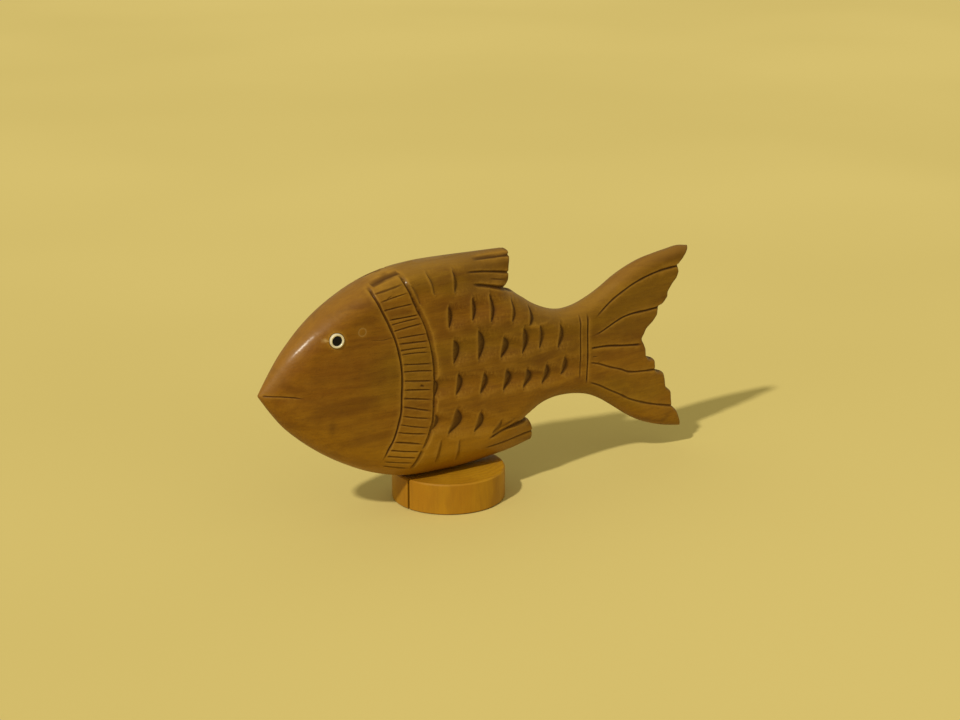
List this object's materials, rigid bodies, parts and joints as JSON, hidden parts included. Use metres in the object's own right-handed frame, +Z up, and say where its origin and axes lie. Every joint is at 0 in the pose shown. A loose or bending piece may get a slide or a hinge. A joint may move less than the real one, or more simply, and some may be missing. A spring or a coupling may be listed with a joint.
{
  "type": "carved wooden fish",
  "caption": "Solid carved wooden fish on a low round stand, with inlaid eyes, a notched gill band, gouged scales, cut fins and a ragged forked tail.",
  "frame": {"origin": "centre of the round stand's underside, on the surface that the object stands on", "axes": "+X towards the tail, -X towards the nose, +Y through the fish's right side, +Z up"},
  "size_m": [0.2996, 0.068, 0.1485],
  "materials": {
    "body_wood": "varnished, semi-gloss",
    "stand_wood": "varnished, satin",
    "eye_white": "polished",
    "eye_black": "polished",
    "screw_steel": "plain zinc"
  },
  "bodies": {
    "root": {"fish_body": "body_wood", "left_eye_ring": "eye_white", "left_eye_pupil": "eye_black", "right_eye_ring": "eye_white", "right_eye_pupil": "eye_black", "stand_block": "stand_wood", "front_screw": "screw_steel", "rear_screw": "screw_steel"}
  },
  "joints": []
}
